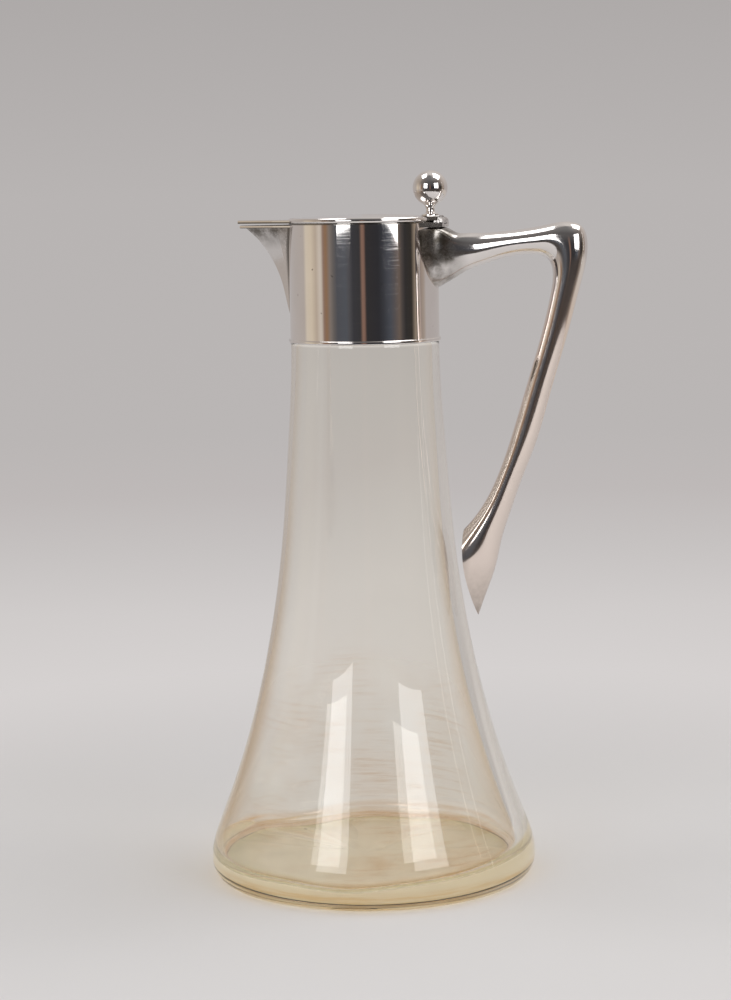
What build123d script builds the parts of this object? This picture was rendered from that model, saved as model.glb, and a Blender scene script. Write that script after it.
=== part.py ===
from build123d import *
from math import cos, hypot, radians, sin
import os

# Claret jug: a blown glass body in a silver-plated mount with a hinged lid.
# Millimetres, Z up. The origin is the middle of the foot, on the table.
# The handle points to +X and the spout to -X.

os.makedirs("parts", exist_ok=True)

# ---------------------------------------------------------------- sizes

# Collar, the plated tube that holds everything metal
collar_radius = 33.6
collar_wall = 0.8
collar_bottom = 245.2
collar_height = 52.2
foot_wire = 1.3             # width of the wire round the collar's lower edge
foot_wire_height = 1.8

# Glass body
foot_radius = 68.5
heel_bulge = 6.0            # widest part, just above the foot, stands out this far
heel_height = 9.0
floor_thickness = 9.5
floor_radius = 46.0         # flat middle of the inner floor
floor_corner = 15.0         # height of the round between inner floor and wall
wall_heel = 5.0
wall_neck = 2.6
cement_gap = 1.4            # plaster bed between glass and collar
glass_setback = 0.2         # glass under the collar is this much slimmer than it
shoulder_height = 5.0       # ground shoulder that the collar slips over
rim_depth = 20.5            # glass rim below the collar's top
rim_round = 0.6
cavity_lean = 0.6           # degrees; hand-blown, so the wall is thicker behind the handle

# Outer flare: share of the height above the heel, share of the extra radius left
flare = ((0.075, 0.885), (0.20, 0.628), (0.40, 0.333), (0.60, 0.153), (0.80, 0.057))

# Liner over the glass rim
liner_wall = 0.6
liner_flange = 0.9
liner_skirt = 10.0
liner_clearance = 0.2

# Spout, soldered to the collar
spout_drop = 0.5            # lip below the collar's top
spout_wall = 0.9
spout_crease = 0.58         # where the side folds, from keel (0) to collar (1)
spout_hollow = 1.0          # how far that fold lies inside a straight side
lip_wire_height = 1.3
lip_wire = 0.7
lip_wire_round = 0.4
spout_stop = 3.7            # lower end of the spout above the collar's lower edge
spout_lap = 1.5             # the side walls are shaped to this far inside the collar
# Share of the length below the lip, reach beyond the collar, half-angle on the collar:
# the open levels, which hold the channel, and the solid keel below them
spout_mouth = (
    (0.0, 22.6, 30.5),
    (0.083, 17.9, 28.5),
    (0.20, 12.8, 22.0),
    (0.30, 9.6, 17.0),
    (0.40, 7.1, 13.0),
)
spout_keel = (
    (0.54, 4.6, 9.0),
    (0.67, 3.1, 6.5),
    (0.84, 1.2, 4.5),
    (1.0, -0.5, 3.0),
)
channel_reach = 6.0         # how far the channel is carried on inside the collar

# Lid
seat_gap = 0.12
lid_rim_height = 2.3
lid_rim_width = 1.5
lid_rim_flat = 0.8          # flat part of the rim wire's top and underside
lid_overhang = 0.3
lid_sheet = 0.9
lid_edge_drop = 0.2         # sheet below the top of its rim wire
lid_dome = 1.6
flange_wall = 0.9
flange_depth = 3.4
flange_clearance = 0.4
cover_thickness = 1.45
cover_rise = 0.2            # spout cover's underside above the rim wire's
cover_overhang = 0.4
cover_round = 0.4

# Hinge
knuckle_radius = 1.95
knuckle_drop = 0.3          # knuckles below the lid's rim
pin_radius = 0.9
pin_clearance = 0.05
pin_head = 0.25
pin_round = 0.22
hinge_standoff = 0.3        # barrel clear of the collar
hinge_half_width = 6.6
middle_half_width = 3.2
knuckle_gap = 0.15
hinge_clearance = 0.3
leaf_thickness = 1.7
base_drop = 0.2             # hinge base below the collar's top
base_angle = 29.0           # half-angle of the hinge base on the collar
platform_drop = 2.3         # flat top of the handle root below the collar's top
saddle_rise = 0.4
saddle_half_width = 4.4

# Thumbpiece
ball_radius = 7.8
ball_height = 12.2          # ball's middle above the saddle
ball_inset = 2.6            # from the collar's outside towards the middle
ball_skirt = 48.0           # degrees below its equator where the ball runs into the stem
stem_radius = 1.95
stem_height = 2.5           # where the neck is thinnest, above the saddle
thumb_foot_radius = 4.0
thumb_foot_edge = 0.5
tenon_radius = 1.0
tenon_length = 1.8
tenon_clearance = 0.03

# Handle. Its root flares onto the collar like a trumpet with a flat top: distance
# out from the collar, half-width, depth below the platform.
root_shape = (
    (-6.6, 19.4, 27.6),
    (-3.1, 15.0, 27.6),
    (0.4, 10.5, 26.8),
    (4.4, 8.0, 24.8),
)
root_edge = 1.6             # height of the upright edge of the root's flat top
root_flank = 0.7            # fullness of the root's sides and top, as a share
root_belly = 0.95           # fullness of its underside
# Each station has a point on the outer outline and one on the inner outline, as
# (out from the collar, down from the platform), and the half-width between them.
handle_arm = (
    ((8.6, 2.4), (8.0, 22.8), 7.2),
    ((13.6, 2.9), (13.0, 19.8), 6.7),
    ((20.0, 2.9), (20.0, 17.1), 6.4),
    ((29.0, 2.4), (29.0, 14.4), 6.4),
    ((39.0, 1.4), (38.4, 12.7), 6.7),
    ((50.0, -0.4), (45.0, 12.7), 7.1),
    ((59.5, -1.5), (48.6, 13.5), 7.3),
    ((65.4, 0.6), (50.8, 15.4), 7.4),
    ((67.7, 7.1), (52.0, 18.4), 7.3),
    ((67.1, 16.1), (52.3, 22.4), 7.0),
    ((64.2, 27.5), (51.8, 27.2), 6.7),
    ((59.3, 45.6), (48.4, 42.6), 6.3),
    ((50.7, 74.1), (40.1, 70.8), 6.1),
    ((43.5, 97.6), (32.8, 94.3), 6.2),
    ((37.3, 113.1), (27.3, 109.5), 6.5),
    ((32.1, 127.6), (20.5, 123.3), 7.0),
    ((28.1, 139.6), (13.3, 133.0), 7.7),
    ((24.9, 153.1), (4.5, 141.6), 8.2),
    ((20.9, 164.1), (-2.5, 149.0), 7.2),
    ((17.4, 173.6), (-6.0, 158.0), 4.6),
    ((14.6, 181.5), (-7.0, 167.0), 1.6),
)
handle_round = 0.56         # 0.55 makes each section an ellipse, more is squarer
handle_end_gap = (6.1, 5.0, 7.0)    # air between handle and glass: top, middle and tip
handle_end = (136.0, 152.0, 176.0)  # where those are, down from the platform
handle_end_reach = 28.0     # the cut runs on this far past both ends and both sides

# ---------------------------------------------------------------- places

heel_radius = foot_radius + heel_bulge
collar_top = collar_bottom + collar_height
collar_bore = collar_radius - collar_wall
glass_neck = collar_radius - glass_setback
glass_collar = collar_bore - cement_gap
glass_bore = glass_collar - wall_neck
glass_rim = collar_top - rim_depth
shoulder_bottom = collar_bottom - foot_wire / 2 - shoulder_height / 2
shoulder_top = shoulder_bottom + shoulder_height
liner_top = glass_rim + liner_flange
lid_bottom = collar_top + seat_gap
lid_rim_top = lid_bottom + lid_rim_height
lid_rim_radius = collar_radius + lid_overhang
lid_radius = lid_rim_radius - lid_rim_width
lid_edge = lid_rim_top - lid_edge_drop
flange_radius = min(lid_radius, collar_bore - flange_clearance)
spout_top = collar_top - spout_drop
spout_length = spout_top - collar_bottom - spout_stop
hinge_x = collar_radius + hinge_standoff + knuckle_radius
hinge_z = lid_rim_top - knuckle_radius - knuckle_drop
platform = collar_top - platform_drop
base_top = collar_top - base_drop
saddle_top = lid_rim_top + saddle_rise
ball_x = collar_radius - ball_inset


def on_collar(angle, radius=collar_radius, side=1):
    """Point at a half-angle from the jug's X axis, for side +1 (handle) or -1 (spout)."""
    return side * radius * cos(radians(angle)), radius * sin(radians(angle))


# ---------------------------------------------------------------- glass body

flare_points = [
    (
        glass_neck + (heel_radius - glass_neck) * extra,
        heel_height + (shoulder_bottom - heel_height) * share,
    )
    for share, extra in flare
]


def wall_at(height):
    """Glass wall, thinning evenly from the heel to the neck."""
    share = (height - heel_height) / (shoulder_bottom - heel_height)
    return wall_heel + (wall_neck - wall_heel) * share


cavity_points = [(radius - wall_at(height), height) for radius, height in flare_points[1:]]
floor_wall = (
    flare_points[0][0] - wall_at(floor_thickness + floor_corner),
    floor_thickness + floor_corner,
)

with BuildPart() as cavity:
    lean = radians(cavity_lean)
    upright = Plane(origin=(0, 0, glass_rim), x_dir=(cos(lean), 0, -sin(lean)), z_dir=(0, -1, 0))
    with BuildSketch(upright):
        with BuildLine():
            floor = Line((0, floor_thickness - glass_rim), (floor_radius, floor_thickness - glass_rim))
            corner = Spline(
                floor @ 1,
                (floor_wall[0], floor_wall[1] - glass_rim),
                tangents=((1, 0), (cavity_points[0][0] - floor_wall[0],
                                   cavity_points[0][1] - floor_wall[1])),
            )
            wall = Spline(
                [corner @ 1]
                + [(radius, height - glass_rim) for radius, height in cavity_points]
                + [(glass_neck - wall_neck, shoulder_bottom - glass_rim)],
                tangents=(corner % 1, (0, 1)),
            )
            throat = Line(wall @ 1, (glass_bore, shoulder_top - glass_rim))
            bore = Line(throat @ 1, (glass_bore, 2 * rim_round))
            Polyline(bore @ 1, (0, 2 * rim_round), floor @ 0)
        make_face()
    revolve(axis=Axis((0, 0, glass_rim), upright.y_dir))

with BuildPart() as glass_body:
    with BuildSketch(Plane.XZ):
        with BuildLine():
            base = Line((0, 0), (foot_radius, 0))
            heel = EllipticalCenterArc(
                (foot_radius, heel_height), heel_radius - foot_radius, heel_height,
                start_angle=-90, arc_size=90,
            )
            side = Spline(
                [heel @ 1] + flare_points + [(glass_neck, shoulder_bottom)],
                tangents=((0, 1), (0, 1)),
            )
            shoulder = Line(side @ 1, (glass_collar, shoulder_top))
            neck = Line(shoulder @ 1, (glass_collar, glass_rim))
            Polyline(neck @ 1, (0, glass_rim), base @ 0)
        make_face()
    revolve(axis=Axis.Z)
    add(cavity.part, mode=Mode.SUBTRACT)
    rim_edges = glass_body.edges().filter_by(GeomType.CIRCLE).group_by(Axis.Z)[-1]
    fillet(rim_edges, rim_round)

# ---------------------------------------------------------------- cement, collar and liner

with BuildPart() as neck_cement:
    with BuildSketch(Plane.XZ):
        with BuildLine():
            Polyline(
                (glass_collar, shoulder_top), (collar_bore, shoulder_top),
                (collar_bore, glass_rim), (glass_collar, glass_rim), close=True,
            )
        make_face()
    revolve(axis=Axis.Z)

with BuildPart() as neck_liner:
    with BuildSketch(Plane.XZ):
        with BuildLine():
            skirt_radius = glass_bore - liner_clearance
            Polyline(
                (skirt_radius - liner_wall, liner_top), (collar_bore, liner_top),
                (collar_bore, glass_rim), (skirt_radius, glass_rim),
                (skirt_radius, glass_rim - liner_skirt),
                (skirt_radius - liner_wall, glass_rim - liner_skirt), close=True,
            )
        make_face()
    revolve(axis=Axis.Z)


def spout_section(share, reach, angle, inset=0.0, back=0.0):
    """Corners of a level cut through the spout, its walls set in by inset and its
    open side carried further back inside the collar."""
    keel = (-(collar_radius + reach), 0)
    end = on_collar(angle, collar_radius - spout_lap, side=-1)
    run = (end[0] - keel[0], end[1] - keel[1])
    length = hypot(*run)
    ahead = (run[0] / length, run[1] / length)
    inward = (ahead[1], -ahead[0])
    hollow = spout_hollow * (1 - share) * reach / spout_mouth[0][1] + inset
    point = (keel[0] + inset / ahead[1], 0)
    fold = (
        keel[0] + run[0] * spout_crease + inward[0] * hollow,
        keel[1] + run[1] * spout_crease + inward[1] * hollow,
    )
    inner = (
        end[0] + ahead[0] * back + inward[0] * inset,
        end[1] + ahead[1] * back + inward[1] * inset,
    )
    return [point, fold, inner, (inner[0], -inner[1]), (fold[0], -fold[1])]


with BuildPart() as spout_channel:
    for share, reach, angle in spout_mouth:
        with BuildSketch(Plane.XY.offset(spout_top - share * spout_length)):
            Polygon(
                *spout_section(share, reach, angle, spout_wall, channel_reach), align=None
            )
    loft()
    extrude(spout_channel.faces().sort_by(Axis.Z)[-1], amount=lid_rim_height)

with BuildPart() as spout_body:
    for share, reach, angle in spout_mouth + spout_keel:
        with BuildSketch(Plane.XY.offset(spout_top - share * spout_length)):
            Polygon(*spout_section(share, reach, angle), align=None)
    loft()
    add(spout_channel.part, mode=Mode.SUBTRACT)
    with BuildSketch(Plane.XY.offset(collar_bottom)):
        Circle(collar_radius)
    extrude(amount=collar_height, mode=Mode.SUBTRACT)

with BuildPart() as collar_band:
    with BuildSketch(Plane.XY.offset(collar_bottom)):
        Circle(collar_radius)
        Circle(collar_bore, mode=Mode.SUBTRACT)
    extrude(amount=collar_height)
    add(spout_channel.part, mode=Mode.SUBTRACT)

with BuildPart() as collar_foot_wire:
    with BuildSketch(Plane.XZ):
        with Locations((collar_radius, collar_bottom)):
            SlotOverall(foot_wire_height, foot_wire, rotation=90)
        with Locations((collar_radius - collar_wall / 2, collar_bottom)):
            Rectangle(collar_wall, foot_wire_height, align=(Align.CENTER, Align.MIN),
                      mode=Mode.SUBTRACT)
    revolve(axis=Axis.Z)

with BuildPart() as spout_lip_wire:
    with BuildSketch(Plane.XY.offset(spout_top - lip_wire_height)):
        Polygon(*spout_section(*spout_mouth[0]), align=None)
        offset(amount=lip_wire, kind=Kind.INTERSECTION)
        Circle(collar_radius, mode=Mode.SUBTRACT)
    extrude(amount=lip_wire_height)
    outer_edges = spout_lip_wire.edges().filter_by(Plane.XY).filter_by(GeomType.LINE)
    fillet(outer_edges, lip_wire_round)
    add(spout_body.part, mode=Mode.SUBTRACT)
    add(spout_channel.part, mode=Mode.SUBTRACT)

# ---------------------------------------------------------------- hinge cutters

hinge_axis = Plane(origin=(hinge_x, 0, hinge_z), x_dir=(1, 0, 0), z_dir=(0, -1, 0))


def rear_plan(angle, radius, half_width, rear):
    """Plan of the hinge plates: wide on the collar, narrow at the barrel."""
    corner = on_collar(angle, radius)
    return (
        (0, corner[1]), corner, (rear, half_width),
        (rear, -half_width), (corner[0], -corner[1]), (0, -corner[1]),
    )


# Room round the fixed knuckles, cut out of every piece that rises with the lid
with BuildPart() as knuckle_room:
    with BuildSketch(hinge_axis):
        Circle(knuckle_radius + hinge_clearance)
    extrude(amount=hinge_half_width + hinge_clearance, both=True)

with BuildPart() as middle_room:
    with BuildSketch(hinge_axis):
        Circle(knuckle_radius + hinge_clearance)
    extrude(amount=middle_half_width + knuckle_gap, both=True)

with BuildPart() as pin_bore:
    with BuildSketch(hinge_axis):
        Circle(pin_radius + pin_clearance)
    extrude(amount=2 * hinge_half_width, both=True)

# ---------------------------------------------------------------- lid

with BuildPart() as lid_rim_wire:
    with BuildSketch(Plane.XZ):
        with BuildLine():
            under = Line((lid_radius, lid_bottom), (lid_radius + lid_rim_flat, lid_bottom))
            swell = ThreePointArc(
                under @ 1,
                (lid_rim_radius, lid_bottom + lid_rim_height / 2),
                (lid_radius + lid_rim_flat, lid_rim_top),
            )
            Polyline(swell @ 1, (lid_radius, lid_rim_top), under @ 0)
        make_face()
    revolve(axis=Axis.Z)
    add(knuckle_room.part, mode=Mode.SUBTRACT)

with BuildPart() as lid_cover:
    with BuildSketch(Plane.XZ):
        with BuildLine():
            dome = TangentArc((0, lid_edge + lid_dome), (lid_radius, lid_edge), tangent=(1, 0))
            edge = Line(dome @ 1, (lid_radius, lid_edge - lid_sheet))
            inside = TangentArc(
                (0, lid_edge + lid_dome - lid_sheet), edge @ 1, tangent=(1, 0)
            )
            Line(inside @ 0, dome @ 0)
        make_face()
    revolve(axis=Axis.Z)
    add(knuckle_room.part, mode=Mode.SUBTRACT)

with BuildPart() as lid_locating_flange:
    with BuildSketch(Plane.XY.offset(lid_bottom - flange_depth)):
        Circle(flange_radius)
        Circle(flange_radius - flange_wall, mode=Mode.SUBTRACT)
    extrude(amount=flange_depth + lid_edge - lid_sheet - lid_bottom)
    add(knuckle_room.part, mode=Mode.SUBTRACT)

with BuildPart() as lid_spout_cover:
    with BuildSketch(Plane.XY.offset(lid_bottom + cover_rise)):
        Polygon(*spout_section(*spout_mouth[0]), align=None)
        offset(amount=lip_wire + cover_overhang, kind=Kind.INTERSECTION)
        Circle(lid_radius, mode=Mode.SUBTRACT)
    extrude(amount=cover_thickness)
    top_edges = lid_spout_cover.edges().filter_by(GeomType.LINE).group_by(Axis.Z)[-1]
    fillet(top_edges, cover_round)
    add(lid_rim_wire.part, mode=Mode.SUBTRACT)

# ---------------------------------------------------------------- hinge

with BuildPart() as lid_hinge_leaf:
    with BuildSketch(Plane.XY.offset(lid_rim_top - leaf_thickness)):
        Polygon(*rear_plan(base_angle, lid_radius, hinge_half_width + hinge_clearance,
                           hinge_x - hinge_clearance), align=None)
        Circle(lid_radius, mode=Mode.SUBTRACT)
    extrude(amount=leaf_thickness)
    with BuildSketch(Plane.XY.offset(lid_rim_top)):
        with Locations((ball_x, 0)):
            Circle(saddle_half_width)
            Rectangle(hinge_x - ball_x, 2 * saddle_half_width, align=(Align.MIN, Align.CENTER))
    extrude(amount=saddle_rise)
    add(knuckle_room.part, mode=Mode.SUBTRACT)
    with BuildSketch(hinge_axis):
        Circle(knuckle_radius)
        with Locations((0, 0)):
            Rectangle(knuckle_radius + 2 * hinge_clearance, saddle_top - hinge_z,
                      align=(Align.MAX, Align.MIN))
    extrude(amount=middle_half_width, both=True)
    add(pin_bore.part, mode=Mode.SUBTRACT)
    add(lid_rim_wire.part, mode=Mode.SUBTRACT)
    add(lid_cover.part, mode=Mode.SUBTRACT)

with BuildPart() as hinge_base:
    with BuildSketch(Plane.XY.offset(platform)):
        Polygon(*rear_plan(base_angle, collar_radius, hinge_half_width + hinge_clearance,
                           hinge_x + knuckle_radius), align=None)
        Circle(collar_radius, mode=Mode.SUBTRACT)
    extrude(amount=base_top - platform)
    add(knuckle_room.part, mode=Mode.SUBTRACT)
    with BuildSketch(hinge_axis):
        Circle(knuckle_radius)
        with Locations((0, 0)):
            Rectangle(2 * knuckle_radius, hinge_z - platform, align=(Align.CENTER, Align.MAX))
    extrude(amount=hinge_half_width, both=True)
    add(middle_room.part, mode=Mode.SUBTRACT)
    add(pin_bore.part, mode=Mode.SUBTRACT)

with BuildPart() as hinge_pin:
    with BuildSketch(hinge_axis):
        Circle(pin_radius)
    extrude(amount=hinge_half_width + pin_head, both=True)
    pin_ends = hinge_pin.edges().filter_by(GeomType.CIRCLE)
    fillet(pin_ends, pin_round)

# ---------------------------------------------------------------- thumbpiece

with BuildPart() as thumb_foot:
    with BuildSketch(Plane.XZ):
        with BuildLine():
            neck_z = saddle_top + stem_height
            seat = Line((ball_x, saddle_top), (ball_x + thumb_foot_radius, saddle_top))
            lip = Line(seat @ 1, (ball_x + thumb_foot_radius, saddle_top + thumb_foot_edge))
            bell = Spline(
                lip @ 1, (ball_x + stem_radius, neck_z), tangents=((-1, 0.25), (0, 1))
            )
            Polyline(bell @ 1, (ball_x, neck_z), seat @ 0)
        make_face()
    revolve(axis=Axis((ball_x, 0, 0), (0, 0, 1)))
    with Locations((ball_x, 0, neck_z)):
        Hole(tenon_radius + tenon_clearance, depth=tenon_length + tenon_clearance)

with BuildPart() as thumb_ball:
    with BuildSketch(Plane.XZ):
        with BuildLine():
            ball_z = saddle_top + ball_height
            skirt = (
                ball_radius * cos(radians(ball_skirt)), ball_radius * sin(radians(ball_skirt))
            )
            crown = ThreePointArc(
                (ball_x, ball_z + ball_radius),
                (ball_x + ball_radius, ball_z),
                (ball_x + skirt[0], ball_z - skirt[1]),
            )
            throat = Spline(crown @ 1, (ball_x + stem_radius, neck_z), tangents=(crown % 1, (0, -1)))
            Polyline(
                throat @ 1,
                (ball_x + tenon_radius, neck_z),
                (ball_x + tenon_radius, neck_z - tenon_length),
                (ball_x, neck_z - tenon_length),
                crown @ 0,
            )
        make_face()
    revolve(axis=Axis((ball_x, 0, 0), (0, 0, 1)))

# ---------------------------------------------------------------- handle


def station_plane(outer, inner):
    """Plane of a cross-section through a point of each outline, and its depth."""
    run = (outer[0] - inner[0], outer[1] - inner[1])
    depth = hypot(*run)
    upward = (run[0] / depth, run[1] / depth)
    middle = ((outer[0] + inner[0]) / 2, 0, (outer[1] + inner[1]) / 2)
    return Plane(origin=middle, x_dir=(0, 1, 0), z_dir=(upward[1], 0, -upward[0])), depth


def section(plane, quarters):
    """Face of four Bezier edges, kept apart so that the loft joins each to its like."""
    return plane * Face(Wire([Bezier(*points, mode=Mode.PRIVATE) for points in quarters]))


def arm_quarters(half_width, rise):
    """Closed oval, from the top round by +X."""
    quarters = []
    for x, y in ((1, 1), (1, -1), (-1, -1), (-1, 1)):
        w, h = x * half_width, y * rise
        curve = ((0, h), (w * handle_round, h), (w, h * handle_round), (w, 0))
        quarters.append(curve if x == y else curve[::-1])
    return quarters


def root_quarters(half_width, depth):
    """Section of the root: flat top, upright edges, full sides and a pointed belly."""
    quarters = []
    for w in (half_width, -half_width):
        top = ((0, 0), (w * root_flank, 0), (w, 0), (w, -root_edge))
        belly = (
            (w, -root_edge), (w, -root_flank * depth),
            (w * root_flank, -root_belly * depth), (0, -depth),
        )
        quarters += [top, belly] if w > 0 else [belly[::-1], top[::-1]]
    return quarters


def glass_at(height):
    """Radius of the glass outside at a height, on the curve between two flare points."""
    levels = [(heel_radius, heel_height)] + flare_points + [(glass_neck, shoulder_bottom)]
    for (low_radius, low), (high_radius, high) in zip(levels, levels[1:]):
        if low <= height <= high:
            share = (height - low) / (high - low)
            return low_radius + (high_radius - low_radius) * share
    return glass_neck


with BuildPart() as handle_clearance:
    with BuildSketch(Plane.XZ):
        with BuildLine():
            ends = [
                (glass_at(platform - drop) + gap, platform - drop)
                for drop, gap in zip(handle_end, handle_end_gap)
            ]
            cut = Spline(*ends)
            above = cut @ 0 - (cut % 0) * handle_end_reach
            below = cut @ 1 + (cut % 1) * handle_end_reach
            Polyline(cut @ 0, above, (0, above.Y), (0, below.Y), below, cut @ 1)
        make_face()
    extrude(amount=handle_end_reach, both=True)

root_sections = []
for out, half_width, depth in root_shape:
    upright = Plane(origin=(collar_radius + out, 0, platform), x_dir=(0, 1, 0), z_dir=(1, 0, 0))
    root_sections.append(section(upright, root_quarters(half_width, depth)))
arm_sections = [root_sections[-1]]
for outer, inner, half_width in handle_arm:
    plane, depth = station_plane(
        (collar_radius + outer[0], platform - outer[1]),
        (collar_radius + inner[0], platform - inner[1]),
    )
    arm_sections.append(section(plane, arm_quarters(half_width, depth / 2)))

with BuildPart() as handle:
    loft(root_sections)
    loft(arm_sections)
    add(handle_clearance.part, mode=Mode.SUBTRACT)
    with BuildSketch(Plane.XY.offset(collar_bottom)):
        Circle(collar_radius)
    extrude(amount=collar_height, mode=Mode.SUBTRACT)
    with BuildSketch(Plane.XY.offset(platform)):
        Rectangle(2 * (hinge_x + knuckle_radius), 2 * collar_radius)
    extrude(amount=collar_top - platform, mode=Mode.SUBTRACT)

pieces = (
    (glass_body, "glass_body"),
    (neck_cement, "neck_cement"),
    (neck_liner, "neck_liner"),
    (collar_band, "collar_band"),
    (collar_foot_wire, "collar_foot_wire"),
    (spout_body, "spout_body"),
    (spout_lip_wire, "spout_lip_wire"),
    (handle, "handle"),
    (hinge_base, "hinge_base"),
    (hinge_pin, "hinge_pin"),
    (lid_cover, "lid_cover"),
    (lid_rim_wire, "lid_rim_wire"),
    (lid_locating_flange, "lid_locating_flange"),
    (lid_spout_cover, "lid_spout_cover"),
    (lid_hinge_leaf, "lid_hinge_leaf"),
    (thumb_foot, "thumb_foot"),
    (thumb_ball, "thumb_ball"),
)
for piece, label in pieces:
    piece.part.label = label
    export_step(piece.part, f"parts/{label}.step")
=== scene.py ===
import math
import bpy
from mathutils import Matrix, Quaternion, Vector


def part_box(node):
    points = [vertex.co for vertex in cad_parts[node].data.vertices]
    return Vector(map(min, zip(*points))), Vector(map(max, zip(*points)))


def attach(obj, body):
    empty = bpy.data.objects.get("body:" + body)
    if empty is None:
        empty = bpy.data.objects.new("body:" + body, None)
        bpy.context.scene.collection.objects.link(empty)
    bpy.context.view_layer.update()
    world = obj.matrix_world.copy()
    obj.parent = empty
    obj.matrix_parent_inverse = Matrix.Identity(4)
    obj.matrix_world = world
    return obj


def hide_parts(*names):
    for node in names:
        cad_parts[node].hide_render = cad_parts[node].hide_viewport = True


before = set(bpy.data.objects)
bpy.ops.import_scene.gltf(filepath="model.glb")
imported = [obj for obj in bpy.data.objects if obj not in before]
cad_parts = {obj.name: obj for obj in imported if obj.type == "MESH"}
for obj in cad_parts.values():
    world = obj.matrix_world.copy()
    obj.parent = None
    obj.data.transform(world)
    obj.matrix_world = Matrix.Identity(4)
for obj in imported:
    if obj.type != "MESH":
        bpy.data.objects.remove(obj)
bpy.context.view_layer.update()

# ---------------------------------------------------------------- glass body
# Mouth-blown soda glass: a wide foot drawn up into a straight neck. The wall is
# thick at the heel and thin at the neck, so the edges read as pale straw lines.


def srgb(code):
    """Linear colour of an sRGB hex code."""
    channels = [int(code[i:i + 2], 16) / 255 for i in (1, 3, 5)]
    linear = [c / 12.92 if c <= 0.04045 else ((c + 0.055) / 1.055) ** 2.4 for c in channels]
    return (*linear, 1.0)


def add(tree, kind, inputs=None, stops=(), span=(0.0, 1.0), **settings):
    """Adds a node with its settings. An input is a value, an output to link, or a node,
    which gives its first output in use. The stops of a colour ramp are places within the span,
    each with its hex code."""
    node = tree.nodes.new(kind)
    while stops and len(node.color_ramp.elements) > 1:
        node.color_ramp.elements.remove(node.color_ramp.elements[-1])
    for index, (place, code) in enumerate(stops):
        spot = (place - span[0]) / (span[1] - span[0])
        stop = node.color_ramp.elements[0] if index == 0 else node.color_ramp.elements.new(spot)
        stop.position = spot
        stop.color = srgb(code)
    for name, value in settings.items():
        setattr(node, name, value)
    for name, value in (inputs or {}).items():
        socket = node.inputs[name]
        if isinstance(value, bpy.types.Node):
            value = next(output for output in value.outputs if output.enabled)
        if isinstance(value, bpy.types.NodeSocket):
            tree.links.new(value, socket)
        else:
            socket.default_value = value
    return node


def new_tree(owner):
    """Empty node tree of a material or world."""
    owner.use_nodes = True
    owner.node_tree.nodes.clear()
    return owner.node_tree


def dried_wine(tree, place, height, streaks, inside):
    """How much dried wine lies on the inside: lines in patches about 40 mm across, a haze
    round them, and tide lines in the corner where the last of it stood."""
    tide = add(tree, "ShaderNodeAttribute", attribute_name="tide_line").outputs["Fac"]
    lines = add(tree, "ShaderNodeMapRange", {
        "Value": streaks, "From Min": 0.50, "From Max": 0.76, "To Max": 0.7})
    spots = add(tree, "ShaderNodeTexNoise", {"Vector": place, "Scale": 24.0, "Detail": 3.0})
    patch = add(tree, "ShaderNodeMapRange", {"Value": spots, "From Min": 0.46, "From Max": 0.66})
    low = add(tree, "ShaderNodeMapRange", {"Value": height, "From Min": 0.115, "From Max": 0.05})
    lines = add(tree, "ShaderNodeMath", {0: lines, 1: patch}, operation="MULTIPLY")
    lines = add(tree, "ShaderNodeMath", {0: lines, 1: low}, operation="MULTIPLY")
    haze = add(tree, "ShaderNodeMath", {0: patch, 1: low}, operation="MULTIPLY")
    film = add(tree, "ShaderNodeMath", {0: haze, 1: 0.16, 2: lines}, operation="MULTIPLY_ADD")
    film = add(tree, "ShaderNodeMath", {
        0: tide, 1: 0.45, 2: film}, operation="MULTIPLY_ADD", use_clamp=True)
    return add(tree, "ShaderNodeMath", {0: film, 1: inside}, operation="MULTIPLY")


def straw_edge(tree, across, height, streaks, inside):
    """How straw-coloured the glass looks: where the wall is seen edge on, most of all low
    down and on the spout's side, and in fine lines round the outside of the heel."""
    facing = add(tree, "ShaderNodeLayerWeight", {"Blend": 0.5}).outputs["Facing"]
    edge = add(tree, "ShaderNodeMapRange", {"Value": facing, "From Min": 0.52, "From Max": 0.80})
    belly = add(tree, "ShaderNodeMapRange", {
        "Value": height, "From Min": 0.20, "From Max": 0.06, "To Min": 0.45})
    edge = add(tree, "ShaderNodeMath", {0: edge, 1: belly}, operation="MULTIPLY")
    above_heel = add(tree, "ShaderNodeMapRange", {
        "Value": height, "From Min": 0.011, "From Max": 0.018})
    edge = add(tree, "ShaderNodeMath", {0: edge, 1: above_heel}, operation="MULTIPLY")
    spout_side = add(tree, "ShaderNodeMapRange", {
        "Value": across, "From Min": 0.03, "From Max": -0.03, "To Min": 0.25})
    spout_side = add(tree, "ShaderNodeMath", {0: spout_side, 1: inside}, operation="MAXIMUM")
    edge = add(tree, "ShaderNodeMath", {0: edge, 1: spout_side}, operation="MULTIPLY")
    heel = add(tree, "ShaderNodeMapRange", {"Value": height, "From Min": 0.010, "From Max": 0.0075})
    lines = add(tree, "ShaderNodeMapRange", {
        "Value": streaks, "From Min": 0.42, "From Max": 0.60, "To Min": 0.4})
    heel = add(tree, "ShaderNodeMath", {0: heel, 1: lines}, operation="MULTIPLY")
    outside_only = add(tree, "ShaderNodeMath", {0: 1.0, 1: inside}, operation="SUBTRACT")
    heel = add(tree, "ShaderNodeMath", {0: heel, 1: outside_only}, operation="MULTIPLY")
    return add(tree, "ShaderNodeMath", {0: edge, 1: heel}, operation="ADD", use_clamp=True)


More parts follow.
